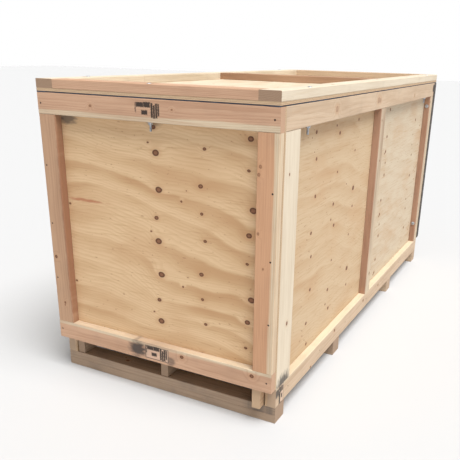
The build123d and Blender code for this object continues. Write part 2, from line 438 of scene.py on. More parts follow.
@dataclass(frozen=True)
class Grainwork:
    """What both kinds of wood finish share: the features painted over the grain."""

    seed: int = 1
    knots: tuple[Knot, ...] = ()
    knot_depth: float = 1.0
    splits: tuple[Split, ...] = ()
    smudges: tuple[StainAndShade, ...] = ()
    marks: tuple[InkMark, ...] = ()

    def knot_distance(self, recipe: Recipe, along: Value, across: Value) -> Optional[Value]:
        """Distance to the nearest knot, in that knot's own radius.

        Args:
            recipe: The material being mixed.
            along: Place along the grain.
            across: Place across it.

        Returns:
            The distance, 1 at the knot's rim, or None if there are no knots.
        """
        nearest: Optional[Value] = None
        ripple = (recipe.noise(recipe.vector(along * 45, across * 45, self.seed * 3.1)) - 0.5) * 0.006
        spot = recipe.vector(along * 0.8 + ripple, across + ripple * 0.7)
        for knot in self.knots:
            gap = recipe.node("ShaderNodeVectorMath", {"operation": "DISTANCE"},
                              {0: spot, 1: (knot.along * 0.8, knot.across, 0.0)})
            reach = Value(recipe, gap.outputs["Value"]) / knot.radius
            nearest = reach if nearest is None else nearest.least(reach)
        return nearest

    def paint_knots(self, recipe: Recipe, colour: Any, distance: Optional[Value]) -> Any:
        """Lay the knots over a colour: halo, core and dark rim."""
        if distance is None:
            return colour
        colour = recipe.mix(distance.fall(1.0, 2.6) * 0.34, colour, KNOT_HALO)
        core = recipe.mix(distance.rise(0.30, 0.90), KNOT_CORE, KNOT_RIM)
        return recipe.mix(distance.fall(0.82, 1.12) * self.knot_depth, colour, core)

    def paint_splits(self, recipe: Recipe, colour: Any, along: Value, across: Value) -> Any:
        """Lay the splits over a colour."""
        for split in self.splits:
            run = Vector(split.end) - Vector(split.start)
            from_start = (along - split.start[0]) * run.x + (across - split.start[1]) * run.y
            part = from_start / run.length_squared
            part = part.most(0.0).least(1.0)
            off_along = along - split.start[0] - part * run.x
            off_across = across - split.start[1] - part * run.y
            gap = (off_along * off_along + off_across * off_across).root()
            colour = recipe.mix(gap.fall(split.width * 0.4, split.width * 1.1) * 0.85, colour, CRACK_DARK)
        return colour

    def paint_smudges(self, recipe: Recipe, colour: Any, along: Value, across: Value) -> Any:
        """Lay the stains and the painted shade patches over a colour, each with a ragged, noisy edge."""
        for smudge in self.smudges:
            off_along = (along - smudge.along) / smudge.reach_along
            off_across = (across - smudge.across) / smudge.reach_across
            gap = (off_along * off_along + off_across * off_across).root()
            rough = recipe.noise(recipe.vector(along * 30, across * 90, self.seed), 4.0)
            cover = (gap + (rough - 0.5) * 1.1).fall(0.35, 1.05)
            colour = recipe.mix(cover * smudge.strength, colour, smudge.colour)
        return colour

    def paint_marks(self, recipe: Recipe, colour: Any, along: Value, across: Value) -> Any:
        """Lay the stencilled marks over a colour."""
        for mark in self.marks:
            right, up = (along - mark.along) / mark.size, (across - mark.across) / mark.size
            if mark.turned:
                right, up = up, 0 - right
            if mark.backing:
                pad = (abs(right) - 0.60).most(abs(up) - 0.31)
                colour = recipe.mix(pad.fall(-0.01, 0.01) * 0.45, colour, (0.72, 0.52, 0.40))
                rim = (abs(pad + 0.02)).fall(0.010, 0.024)
                colour = recipe.mix(rim * 0.8, colour, INK_BLACK)
            shape: Optional[Value] = None
            for middle, height, width, depth in InkMark.BARS:
                bar = (abs(right - middle) - width / 2).most(abs(up - height) - depth / 2)
                shape = bar if shape is None else shape.least(bar)
            wear = recipe.noise(recipe.vector(along * 260, across * 260, self.seed), 3.0)
            inked = (shape + (wear - 0.5) * 0.10).fall(-0.015, 0.025)
            colour = recipe.mix(inked * 0.92, colour, INK_BLACK)
        return colour


@dataclass(frozen=True)
class LumberFinish(Grainwork):
    """Sawn softwood, cut from a log whose heart lies to one side of the board."""

    tone: Tone = Tone.TAN
    ring_pitch: float = 0.0062
    ring_strength: float = 0.55
    heart: tuple[float, float] = (0.012, -0.075)
    sap_from: Optional[float] = None
    sap_above: bool = True
    grime: float = 0.10
    saw_marks: float = 0.25
    mottle: float = 0.24
    end_pale: float = 0.15

    def dress(self, node: str, grain: Grain) -> bpy.types.Material:
        """Mix the finish for one board.

        Args:
            node: The board's frame node.
            grain: The axis that its fibres follow.

        Returns:
            The board's material.
        """
        recipe = Recipe(f"{node}_wood")
        extent = Extent.of(node)
        spot = recipe.place(extent)
        others = sorted((axis for axis in range(3) if axis != grain.value),
                        key=lambda axis: -extent.half[axis])
        along, across, deep = spot[grain.value], spot[others[0]], spot[others[1]]
        shift = self.seed * 5.37

        distance = self.knot_distance(recipe, along, across)
        bend = 0.0 if distance is None else distance.fall(0.6, 4.5) * 0.010
        drift = (recipe.noise(recipe.vector(along * 0.9, shift), 1.0) - 0.5) * 0.075
        waver = (recipe.noise(recipe.vector(along * 3.0 + shift, across * 16, deep * 16)) - 0.5) * 0.011
        off_across = across - self.heart[0] - drift
        off_deep = deep - self.heart[1]
        radius = (off_across * off_across + off_deep * off_deep).root() + waver + bend
        ring = (radius / self.ring_pitch).fraction()
        late = ring.rise(0.30, 0.90) * ring.fall(0.92, 1.0)

        fibre = recipe.noise(recipe.vector(along * 6 + shift, across * 330, deep * 330), 3.0)
        cloud = recipe.noise(recipe.vector(along * 2.2 + shift, across * 13, deep * 13), 3.0)
        body, band = self.tone.value
        colour = recipe.mix(late * (cloud * 0.8 + 0.15) * self.ring_strength * 1.3, body, band)
        if self.sap_from is not None:
            edge = across - self.sap_from + (cloud - 0.5) * 0.022 + drift * 0.12
            sap = edge.rise(-0.005, 0.004) if self.sap_above else edge.fall(-0.004, 0.005)
            colour = recipe.mix(sap * (1 - late * 0.35) * 0.9, colour, SAPWOOD)
        shade = cloud.rise(0.40, 0.72)
        colour = recipe.mix(shade * self.mottle, colour, tuple(tint * 0.80 for tint in band))
        streak = recipe.noise(recipe.vector(along * 3.2 + shift, across * 95, deep * 95), 2.0)
        colour = recipe.mix(streak.rise(0.50, 0.74) * 0.34, colour, band)
        colour = recipe.mix(streak.fall(0.28, 0.46) * 0.22, colour, tuple(tint * 1.12 for tint in body))
        colour = recipe.mix(fibre.rise(0.56, 0.74) * 0.20, colour, band, "MULTIPLY")
        dust = recipe.noise(recipe.vector(along * 9 + shift, across * 9, deep * 9), 4.0)
        colour = recipe.mix(dust.rise(0.50, 0.75) * self.grime, colour, (0.16, 0.13, 0.11))
        colour = self.paint_knots(recipe, colour, distance)
        colour = self.paint_splits(recipe, colour, along, across)
        colour = self.paint_smudges(recipe, colour, along, across)
        colour = self.paint_marks(recipe, colour, along, across)

        ends = abs(along) > extent.half[grain.value] - END_BAND
        pores = recipe.noise(recipe.vector(across * 700, deep * 700, shift), 3.0)
        end_colour = recipe.mix(late * 0.55, END_GRAIN, (0.215, 0.120, 0.070))
        end_colour = recipe.mix(pores.rise(0.50, 0.72) * 0.35, end_colour, (0.120, 0.065, 0.040))
        end_colour = recipe.mix(self.end_pale, end_colour, body)
        colour = recipe.mix(ends, colour, end_colour)

        saw = recipe.noise(recipe.vector(along * 420 + across * 60, shift, deep * 12), 1.0)
        height = fibre * 0.45 + late * 0.30 + saw * self.saw_marks
        if distance is not None:
            height = height + distance.fall(0.9, 1.3) * 0.6
        rough = 0.62 + fibre * 0.22 - late * 0.08
        return recipe.finish(colour, rough, height, relief=0.00055)


@dataclass(frozen=True)
class VeneerFinish(Grainwork):
    """Rotary-cut plywood, whose knots come round again at each turn of the log."""

    turn: float = 0.37
    turn_start: float = -0.18
    band_pitch: float = 0.105
    slope: float = 0.16
    contrast: float = 1.0
    pale: Colour = (0.675, 0.478, 0.285)
    dune: Colour = (0.475, 0.278, 0.138)
    ply_count: int = 5

    def dress(self, node: str, grain: Grain) -> bpy.types.Material:
        """Mix the finish for one sheet.

        Args:
            node: The sheet's frame node.
            grain: The axis that its face veneer's fibres follow.

        Returns:
            The sheet's material.
        """
        recipe = Recipe(f"{node}_veneer")
        extent = Extent.of(node)
        spot = recipe.place(extent)
        thin = min(range(3), key=lambda axis: extent.half[axis])
        other = 3 - thin - grain.value
        along, across, deep = spot[grain.value], spot[other], spot[thin]
        shift = self.seed * 3.91

        peeled = ((across - self.turn_start) / self.turn).fraction() * self.turn + self.turn_start
        distance = self.knot_distance(recipe, along, peeled)
        sweep = (recipe.noise(recipe.vector(along * 1.3 + shift, across * 1.7, shift), 1.5) - 0.5) * 0.34
        flutter = (recipe.noise(recipe.vector(along * 6 + shift, across * 15, shift), 2.0) - 0.5) * 0.030
        level = across + sweep + flutter + along * self.slope
        if distance is not None:
            level = level + distance.fall(0.8, 5.0) * 0.018
        wave = (level / self.band_pitch).fraction()
        dune = wave.rise(0.05, 0.80) * wave.fall(0.82, 1.0)
        share = recipe.noise(recipe.vector(along * 1.6 + shift, across * 3.4, 4.0), 2.0).rise(0.36, 0.64)
        colour = recipe.mix(dune * (share * 0.80 + 0.08) * self.contrast, self.pale, self.dune)
        rings = (level / (self.band_pitch * 0.135)).fraction()
        line = rings.rise(0.25, 0.90) * rings.fall(0.90, 1.0)
        colour = recipe.mix(line * (0.30 - share * 0.14) * self.contrast, colour, self.dune)

        streak = recipe.noise(recipe.vector(along * 7 + shift, across * 150, shift), 3.0)
        colour = recipe.mix(streak.rise(0.50, 0.74) * 0.36, colour, (0.410, 0.225, 0.105))
        glow = recipe.noise(recipe.vector(along * 3.0, across * 6.5 + shift, 2.0), 4.0)
        colour = recipe.mix(glow.rise(0.44, 0.68) * 0.34, colour, (0.500, 0.292, 0.148))
        fleck = recipe.noise(recipe.vector(along * 42 + shift, across * 105, shift), 2.0)
        colour = recipe.mix(fleck.rise(0.66, 0.76) * 0.50, colour, (0.270, 0.115, 0.050))
        colour = self.paint_knots(recipe, colour, distance)
        colour = self.paint_splits(recipe, colour, along, across)
        colour = self.paint_smudges(recipe, colour, along, across)
        colour = self.paint_marks(recipe, colour, along, across)

        edge = (abs(along) > extent.half[grain.value] - END_BAND).most(
            abs(across) > extent.half[other] - END_BAND)
        layer = (deep / (2 * extent.half[thin]) + 0.5) * self.ply_count
        glue = abs(layer.fraction() - 0.5).rise(0.40, 0.49)
        turned_ply = abs((layer * 0.5).fraction() - 0.5).rise(0.24, 0.26)
        chatter = recipe.noise(recipe.vector(along * 300, across * 300, deep * 900), 3.0)
        edge_colour = recipe.mix(turned_ply, (0.640, 0.470, 0.300), (0.400, 0.262, 0.160))
        edge_colour = recipe.mix(chatter.rise(0.55, 0.80) * 0.5, edge_colour, (0.235, 0.140, 0.085))
        edge_colour = recipe.mix(glue * 0.6, edge_colour, (0.150, 0.085, 0.055))
        colour = recipe.mix(edge, colour, edge_colour)
        height = streak * 0.5 + dune * 0.25 + fleck * 0.2
        return recipe.finish(colour, 0.60 + streak * 0.2, height, relief=0.00035)


@dataclass(frozen=True)
class FineFinish:
    """What the metal, foam and rubber finishes share: a name and a finely scaled place."""

    name: str

    @staticmethod
    def _spread(recipe: Recipe, scale: float) -> bpy.types.NodeSocket:
        """The place on the piece, scaled so that noise has grains of 1 / scale metres."""
        scaled = recipe.node("ShaderNodeVectorMath", {"operation": "SCALE"},
                             {0: recipe.object_place, "Scale": scale})
        return scaled.outputs[0]


@dataclass(frozen=True)
class ZincFinish(FineFinish):
    """Zinc-plated steel with a faintly mottled blue-grey surface."""

    name: str = "zinc_plate"
    base: Colour = (0.560, 0.590, 0.630)

    def dress(self) -> bpy.types.Material:
        """Mix the finish."""
        recipe = Recipe(self.name)
        mottled = recipe.noise(self._spread(recipe, 160.0), 4.0)
        rubbed = recipe.noise(self._spread(recipe, 900.0), 2.0)
        colour = recipe.mix(mottled.rise(0.42, 0.66), self.base, (0.335, 0.360, 0.400))
        rough = 0.30 + mottled * 0.18 + rubbed * 0.08
        return recipe.finish(colour, rough, rubbed, relief=0.00004, metallic=1.0)


@dataclass(frozen=True)
class NailSteelFinish(FineFinish):
    """Dark bright-cut nail steel, oiled and a little rusty."""

    name: str = "nail_steel"

    def dress(self) -> bpy.types.Material:
        """Mix the finish."""
        recipe = Recipe(self.name)
        rust = recipe.noise(self._spread(recipe, 420.0), 4.0)
        colour = recipe.mix(rust.rise(0.45, 0.65), (0.055, 0.048, 0.045), (0.115, 0.050, 0.028))
        return recipe.finish(colour, 0.50 + rust * 0.3, rust, relief=0.0001, metallic=0.6)


@dataclass(frozen=True)
class FoamFinish(FineFinish):
    """Closed-cell foam tape, dark blue-grey with fine open pores at its cut edge."""

    name: str = "foam_tape"

    def dress(self) -> bpy.types.Material:
        """Mix the finish."""
        recipe = Recipe(self.name)
        cells = recipe.node("ShaderNodeTexVoronoi", {"feature": "F1"},
                            {"Vector": self._spread(recipe, 1100.0), "Scale": 1.0})
        pit = Value(recipe, cells.outputs["Distance"])
        worn = recipe.noise(self._spread(recipe, 22.0), 3.0)
        colour = recipe.mix(worn.rise(0.40, 0.70), (0.060, 0.064, 0.085), (0.105, 0.108, 0.130))
        # painted shade: the open pores darkened in their hollows
        colour = recipe.mix(pit.fall(0.05, 0.40) * 0.6, colour, (0.022, 0.023, 0.030))
        return recipe.finish(colour, 0.85 + worn * 0.1, pit, relief=0.0004)


@dataclass(frozen=True)
class RubberFinish(FineFinish):
    """Matte charcoal rubber with a dusty bloom and fine moulded ribs."""

    name: str = "edge_rubber"

    def dress(self) -> bpy.types.Material:
        """Mix the finish."""
        recipe = Recipe(self.name)
        bloom = recipe.noise(self._spread(recipe, 35.0), 4.0)
        split = recipe.node("ShaderNodeSeparateXYZ", {}, {0: recipe.object_place})
        rib = abs((Value(recipe, split.outputs[1]) * 220).fraction() - 0.5)
        colour = recipe.mix(bloom.rise(0.38, 0.72), (0.060, 0.050, 0.045), (0.135, 0.118, 0.108))
        return recipe.finish(colour, 0.70 + bloom * 0.2, rib + bloom * 0.4, relief=0.0004)


class Way(Enum):
    """The way that a fastener goes in."""

    DOWN = (0.0, 0.0, -1.0)
    REARWARD = (0.0, 1.0, 0.0)
    UP = (0.0, 0.0, 1.0)
    TO_LEFT = (-1.0, 0.0, 0.0)
    TO_RIGHT = (1.0, 0.0, 0.0)

    @property
    def axis(self) -> int:
        """The number of the axis that it runs along."""
        return max(range(3), key=lambda axis: abs(self.value[axis]))


class Pattern(Bench):
    """A Geometry Nodes tree that shapes one fastener and sets it on every seat."""

    def __init__(self, name: str) -> None:
        """Start a tree that takes seats and gives pieces.

        Args:
            name: The tree's name.
        """
        super().__init__(bpy.data.node_groups.new(name, "GeometryNodeTree"))
        face = self.tree.interface
        face.new_socket("Seats", in_out="INPUT", socket_type="NodeSocketGeometry")
        face.new_socket("Pieces", in_out="OUTPUT", socket_type="NodeSocketGeometry")
        self.entry = self.tree.nodes.new("NodeGroupInput")
        self.labels: dict[str, str] = {}

    def size(self, label: str, kind: str = "NodeSocketFloat") -> Value:
        """Add a named input.

        Args:
            label: Its name.
            kind: Its socket type.

        Returns:
            The input as a value.
        """
        item = self.tree.interface.new_socket(label, in_out="INPUT", socket_type=kind)
        self.labels[label] = item.identifier
        return Value(self, self.entry.outputs[label])

    def turned(self, sides: int, profile: Sequence[tuple[Number, Number]]) -> bpy.types.NodeSocket:
        """A closed solid turned about Z.

        Args:
            sides: How many sides it has; 6 gives a hexagon.
            profile: Heights and radii, from the bottom up.

        Returns:
            The solid's mesh.
        """
        rings = []
        for (low, low_radius), (high, high_radius) in zip(profile, profile[1:]):
            cone = self.node("GeometryNodeMeshCone", {"fill_type": "NONE"}, {
                "Vertices": sides, "Radius Top": high_radius, "Radius Bottom": low_radius,
                "Depth": high - low})
            rings.append(self.moved(cone.outputs["Mesh"], self.vector(0.0, 0.0, low)))
        for height, radius in (profile[0], profile[-1]):
            cap = self.node("GeometryNodeMeshCircle", {"fill_type": "NGON"},
                            {"Vertices": sides, "Radius": radius})
            rings.append(self.moved(cap.outputs["Mesh"], self.vector(0.0, 0.0, height)))
        welded = self.node("GeometryNodeMergeByDistance", {},
                           {"Geometry": self.joined(rings), "Distance": 0.00002})
        return welded.outputs[0]

    def moved(self, mesh: bpy.types.NodeSocket, step: bpy.types.NodeSocket) -> bpy.types.NodeSocket:
        """Move a mesh by a vector."""
        made = self.node("GeometryNodeTransform", {}, {"Geometry": mesh, "Translation": step})
        return made.outputs[0]

    def joined(self, meshes: Sequence[bpy.types.NodeSocket]) -> bpy.types.NodeSocket:
        """Join meshes into one."""
        join = self.node("GeometryNodeJoinGeometry", {}, {})
        for mesh in meshes:
            self.tree.links.new(mesh, join.inputs[0])
        return join.outputs[0]

    def bored(self, mesh: bpy.types.NodeSocket, radius: Number, depth: Number) -> bpy.types.NodeSocket:
        """Bore a mesh along Z, from its bottom to the depth."""
        overrun = 0.001
        drill = self.turned(28, ((-overrun, radius), (depth + overrun, radius)))
        cut = self.node("GeometryNodeMeshBoolean", {"operation": "DIFFERENCE"}, {"Mesh 1": mesh})
        self.tree.links.new(drill, cut.inputs["Mesh 2"])
        return cut.outputs["Mesh"]

    def thread(self, radius: Number, start: Number, length: Number, pitch: Number) -> bpy.types.NodeSocket:
        """A screw thread's ridge wound about Z.

        Args:
            radius: The radius at its crest.
            start: Where it starts.
            length: How far it runs.
            pitch: The rise of one turn.

        Returns:
            The ridge's mesh.
        """
        coil = self.node("GeometryNodeCurveSpiral", {}, {
            "Resolution": 18, "Rotations": length / pitch, "Start Radius": radius - RIDGE,
            "End Radius": radius - RIDGE, "Height": length})
        ridge = self.node("GeometryNodeCurvePrimitiveCircle", {}, {"Resolution": 4, "Radius": RIDGE})
        swept = self.node("GeometryNodeCurveToMesh", {}, {
            "Curve": coil.outputs["Curve"], "Profile Curve": ridge.outputs["Curve"], "Fill Caps": True})
        return self.moved(swept.outputs["Mesh"], self.vector(0.0, 0.0, start))

    def close(self, piece: bpy.types.NodeSocket, finish: bpy.types.Material, seed: int) -> None:
        """Set the piece on every seat, each turned at random about its own axis.

        Args:
            piece: The one fastener, going in along +Z from the origin.
            finish: Its material.
            seed: Fixes the turns.
        """
        heading = self.size("Way", "NodeSocketVector")
        aimed = self.node("FunctionNodeAlignRotationToVector", {"axis": "Z"}, {"Vector": heading})
        spin = self.node("FunctionNodeRandomValue", {"data_type": "FLOAT"},
                         {2: 0.0, 3: 2 * math.pi, "Seed": seed})
        about = self.node("ShaderNodeCombineXYZ", {}, {2: spin.outputs[1]})
        by = self.node("FunctionNodeEulerToRotation", {}, {0: about.outputs[0]})
        turned = self.node("FunctionNodeRotateRotation", {"rotation_space": "LOCAL"},
                           {"Rotation": aimed.outputs[0], "Rotate By": by.outputs[0]})
        placed = self.node("GeometryNodeInstanceOnPoints", {}, {
            "Points": self.entry.outputs["Seats"], "Instance": piece, "Rotation": turned.outputs[0]})
        real = self.node("GeometryNodeRealizeInstances", {}, {0: placed.outputs[0]})
        painted = self.node("GeometryNodeSetMaterial", {},
                            {"Geometry": real.outputs[0], "Material": finish})
        self.node("NodeGroupOutput", {}, {"Pieces": painted.outputs[0]})

    def grow(self, name: str, seats: Sequence[Vector], sizes: dict[str, Any]) -> bpy.types.Object:
        """Run the tree on seats and keep what it gives as a plain mesh.

        Args:
            name: The new piece's name.
            seats: Where each fastener starts.
            sizes: The tree's named inputs.

        Returns:
            The piece.
        """
        points = bpy.data.meshes.new(f"{name}_seats")
        points.from_pydata([tuple(seat) for seat in seats], [], [])
        piece = bpy.data.objects.new(name, points)
        bpy.context.scene.collection.objects.link(piece)
        modifier = piece.modifiers.new("pattern", "NODES")
        modifier.node_group = self.tree
        for label, value in sizes.items():
            modifier[self.labels[label]] = value
        graph = bpy.context.evaluated_depsgraph_get()
        grown = bpy.data.meshes.new_from_object(piece.evaluated_get(graph), depsgraph=graph)
        piece.modifiers.remove(modifier)
        piece.data = grown
        tidy_mesh(grown)
        return piece


def tidy_mesh(mesh: bpy.types.Mesh, crease: float = 32.0) -> None:
    """Point a closed mesh's faces outwards and shade it smooth up to its creases.

    Args:
        mesh: The mesh.
        crease: The angle of the gentlest crease, in degrees.
    """
    shape = bmesh.new()
    shape.from_mesh(mesh)
    bmesh.ops.recalc_face_normals(shape, faces=shape.faces)
    for face in shape.faces:
        face.smooth = True
    shape.to_mesh(mesh)
    shape.free()
    mesh.set_sharp_from_angle(angle=math.radians(crease))


def loose_parts(node: str) -> list[Extent]:
    """The separate solids of one frame node.

    Args:
        node: The frame node.

    Returns:
        The extent of each solid, in a fixed order.
    """
    shape = bmesh.new()
    shape.from_mesh(bpy.data.objects[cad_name(node)].data)
    bmesh.ops.remove_doubles(shape, verts=shape.verts, dist=WELD)
    shape.verts.ensure_lookup_table()
    waiting = set(shape.verts)
    parts: list[Extent] = []
    for first in shape.verts:
        if first not in waiting:
            continue
        waiting.discard(first)
        group, fresh = [first], [first]
        while fresh:
            corner = fresh.pop()
            for edge in corner.link_edges:
                mate = edge.other_vert(corner)
                if mate in waiting:
                    waiting.discard(mate)
                    group.append(mate)
                    fresh.append(mate)
        low = Vector([min(vert.co[axis] for vert in group) for axis in range(3)])
        high = Vector([max(vert.co[axis] for vert in group) for axis in range(3)])
        parts.append(Extent((low + high) / 2, (high - low) / 2))
    shape.free()
    return sorted(parts, key=lambda part: tuple(round(value, 4) for value in part.centre))


class Assembly:
    """A group of pieces that is dressed together and reports itself."""

    title = "assembly"

    def build(self) -> None:
        """Make and dress the group's pieces."""
        raise NotImplementedError

    def report(self, pieces: Sequence[str]) -> None:
        """Log the pieces that were made."""
        log.info("%s: %s", self.title, ", ".join(pieces))

    @staticmethod
    def coat(node: str, material: bpy.types.Material) -> None:
        """Give a frame node one material all over."""
        piece = bpy.data.objects[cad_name(node)]
        if not piece.material_slots:
            piece.data.materials.append(material)
        for holder in piece.material_slots:
            holder.material = material


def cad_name(node: str) -> str:
    """The name of the object that the frame holds for a node."""
    return FRAME["nodes"][node].name


FRAME: dict[str, Any] = {}
BODY_OF: dict[str, str] = {}


@dataclass(frozen=True)
class TapeStrip:
    """One straight run of foam tape: flat where it is pressed, bulging at its cut sides."""

    low: Vector
    high: Vector
    run: int
    press: int
    pitch: float = 0.02
    ease: float = 0.0012
    waver: float = 0.0014

    def add_to(self, shape: bmesh.types.BMesh, seed: int) -> None:
        """Add the run to a mesh.

        Args:
            shape: The mesh being made.
            seed: Names this run's waver.
        """
        across = 3 - self.run - self.press
        length = self.high[self.run] - self.low[self.run]
        count = max(2, round(length / self.pitch))
        thick = self.high[self.press] - self.low[self.press]
        dice = random.Random(seed)
        swell = [(dice.uniform(3, 9), dice.uniform(0, 2 * math.pi)) for _ in range(6)]
        outline = ((0.0, 1), (0.25, 0), (0.75, 0), (1.0, 1))
        rings = []
        for step in range(count + 1):
            place = self.low[self.run] + length * step / count
            ring = []
            for side, order in ((0, 1), (1, -1)):
                pull = sum(math.sin(place * rate + phase) for rate, phase in swell[side::2]) / 6 + 0.5
                dent = self.waver * min(max(pull, 0.0), 1.0)
                for rise, eased in outline[::order]:
                    spot = Vector((0.0, 0.0, 0.0))
                    spot[self.run] = place
                    spot[self.press] = self.low[self.press] + rise * thick
                    inset = dent + (self.ease if eased else 0.0)
                    spot[across] = self.high[across] - inset if side == 0 else self.low[across] + inset
                    ring.append(shape.verts.new(spot))
            rings.append(ring)
        size = len(rings[0])
        for near, far in zip(rings, rings[1:]):
            for corner in range(size):
                after = (corner + 1) % size
                shape.faces.new((near[corner], near[after], far[after], far[corner]))
        shape.faces.new(rings[0])
        shape.faces.new(rings[-1])


class SoftGoods:
    """Makes the foam and rubber pieces and lets them stand for their frame nodes."""

    @staticmethod
    def tape(node: str, strips: Sequence[TapeStrip], bolts: Sequence[str],
             finish: bpy.types.Material) -> bpy.types.Object:
        """Make one foam gasket from straight runs, bored where its bolts go through.

        Args:
            node: The gasket's frame node.
            strips: Its runs.
            bolts: The frame nodes of the bolts that go through it.
            finish: Its material.

        Returns:
            The gasket.
        """
        shape = bmesh.new()
        for number, strip in enumerate(strips):
            strip.add_to(shape, seed=number + len(node))
        bmesh.ops.recalc_face_normals(shape, faces=shape.faces)
        mesh = bpy.data.meshes.new(f"{node}_tape")
        shape.to_mesh(mesh)
        shape.free()
        piece = bpy.data.objects.new(f"{node}_tape", mesh)
        bpy.context.scene.collection.objects.link(piece)
        SoftGoods._bore(piece, bolts, strips[0].press)
        piece.data.materials.clear()
        piece.data.materials.append(finish)
        tidy_mesh(piece.data, crease=50.0)
        SoftGoods._stand_for(piece, node, "foam_gasket")
        return piece

    @staticmethod
    def _bore(piece: bpy.types.Object, bolts: Sequence[str], axis: int, radius: float = 0.0055) -> None:
        """Bore a piece along an axis at each bolt.

        Args:
            piece: The piece.
            bolts: The bolts' frame nodes.
            axis: The axis that the bolts run along.
            radius: The holes' radius.
        """
        drill = bmesh.new()
        aim = Matrix.Rotation(math.pi / 2, 4, "X") if axis == 1 else Matrix.Identity(4)
        for node in bolts:
            for part in loose_parts(node):
                bmesh.ops.create_cone(
                    drill, cap_ends=True, segments=24, radius1=radius, radius2=radius,
                    depth=2.2 * part.half[axis], matrix=Matrix.Translation(part.centre) @ aim)
        bit_mesh = bpy.data.meshes.new("drill_bit")
        drill.to_mesh(bit_mesh)
        drill.free()
        bit = bpy.data.objects.new("drill_bit", bit_mesh)
        bpy.context.scene.collection.objects.link(bit)
        cut = piece.modifiers.new("bore", "BOOLEAN")
        cut.operation, cut.solver, cut.object = "DIFFERENCE", "EXACT", bit
        graph = bpy.context.evaluated_depsgraph_get()
        bored = bpy.data.meshes.new_from_object(piece.evaluated_get(graph), depsgraph=graph)
        piece.modifiers.remove(cut)
        piece.data = bored
        bpy.data.objects.remove(bit)

    @staticmethod
    def strip(node: str, finish: bpy.types.Material, ease: float) -> bpy.types.Object:
        """Make one rubber strip with softened edges.

        Args:
            node: The strip's frame node.
            finish: Its material.
            ease: How far its edges are rounded.

        Returns:
            The strip.
        """
        shape = bmesh.new()
        shape.from_mesh(bpy.data.objects[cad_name(node)].data)
        bmesh.ops.remove_doubles(shape, verts=shape.verts, dist=WELD)
        bmesh.ops.dissolve_limit(shape, angle_limit=math.radians(1.0), verts=shape.verts,
                                 edges=shape.edges)
        mesh = bpy.data.meshes.new(f"{node}_rubber")
        shape.to_mesh(mesh)
        shape.free()
        mesh.materials.append(finish)
        piece = bpy.data.objects.new(f"{node}_rubber", mesh)
        bpy.context.scene.collection.objects.link(piece)
        rounding = piece.modifiers.new("rounding", "BEVEL")
        rounding.width, rounding.segments, rounding.limit_method = ease, 3, "ANGLE"
        rounding.angle_limit = math.radians(40.0)
        SoftGoods._stand_for(piece, node, "edge_rubber")
        return piece

    @staticmethod
    def _stand_for(piece: bpy.types.Object, node: str, slot: str) -> None:
        """Ride with the node's body and stand for the node."""
        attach(piece, BODY_OF[node])
        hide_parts(node)


@dataclass
class Timber(Assembly):
    """Boards and sheets whose shape the frame already has and which only need their wood."""

    title: str
    boards: dict[str, tuple[Grain, LumberFinish]] = field(default_factory=dict)
    sheets: dict[str, tuple[Grain, VeneerFinish]] = field(default_factory=dict)

    def build(self) -> None:
        """Dress every board and sheet of the group."""
        for node, (grain, finish) in {**self.boards, **self.sheets}.items():
            self.coat(node, finish.dress(node, grain))
        self.report([*self.boards, *self.sheets])


def scattered_knots(seed: int, half_length: float, half_width: float, count: int,
                    radius: float) -> tuple[Knot, ...]:
    """Place knots at random but always the same for one seed.

    Args:
        seed: Names the arrangement.
        half_length: Half of the run along the grain that may hold them.
        half_width: Half of the width that may hold them.
        count: How many.
        radius: Their mean radius.

    Returns:
        The knots.
    """
    dice = random.Random(seed)
    return tuple(
        Knot(dice.uniform(-half_length, half_length), dice.uniform(-half_width, half_width),
             radius * dice.uniform(0.45, 1.3))
        for _ in range(count)
    )


def plain_board(seed: int, tone: Tone, half_length: float, **features: Any) -> LumberFinish:
    """A board finish with its own scattered knots and heart place.

    Args:
        seed: Names the board.
        tone: Its colours.
        half_length: Half its length.
        features: Any further fields of the finish.

    Returns:
        The finish.
    """
    dice = random.Random(seed * 17)
    features.setdefault("knots", scattered_knots(seed, half_length, 0.036, dice.randint(1, 4), 0.007))
    features.setdefault("heart", (dice.uniform(-0.05, 0.05), -dice.uniform(0.03, 0.12)))
    return LumberFinish(seed=seed, tone=tone, ring_pitch=dice.uniform(0.0050, 0.0080), **features)


def plain_sheet(seed: int, half_length: float, **features: Any) -> VeneerFinish:
    """A sheet finish with its own scattered knots."""
    features.setdefault("knots", scattered_knots(seed, half_length, 0.17, 7, 0.007))
    return VeneerFinish(seed=seed, **features)


def peeled_sheet(seed: int, whorls: Whorls, turn: float, turn_start: float, half_length: float,
                 **features: Any) -> VeneerFinish:
    """A sheet finish whose large knots follow the log's whorls, with pin knots between them.

    Args:
        seed: Names the sheet.
        whorls: Its rings of branches.
        turn: The length of one turn of veneer.
        turn_start: Where the first turn starts.
        half_length: Half the sheet's run along its grain.
        features: Any further fields of the finish.

    Returns:
        The finish.
    """
    pins = scattered_knots(seed + 3, half_length, turn * 0.4, 5, 0.0040)
    centred = tuple(Knot(pin.along, pin.across + turn_start + turn / 2, pin.radius) for pin in pins)
    return VeneerFinish(seed=seed, turn=turn, turn_start=turn_start,
                        knots=whorls.knots(seed, turn, turn_start) + centred, **features)


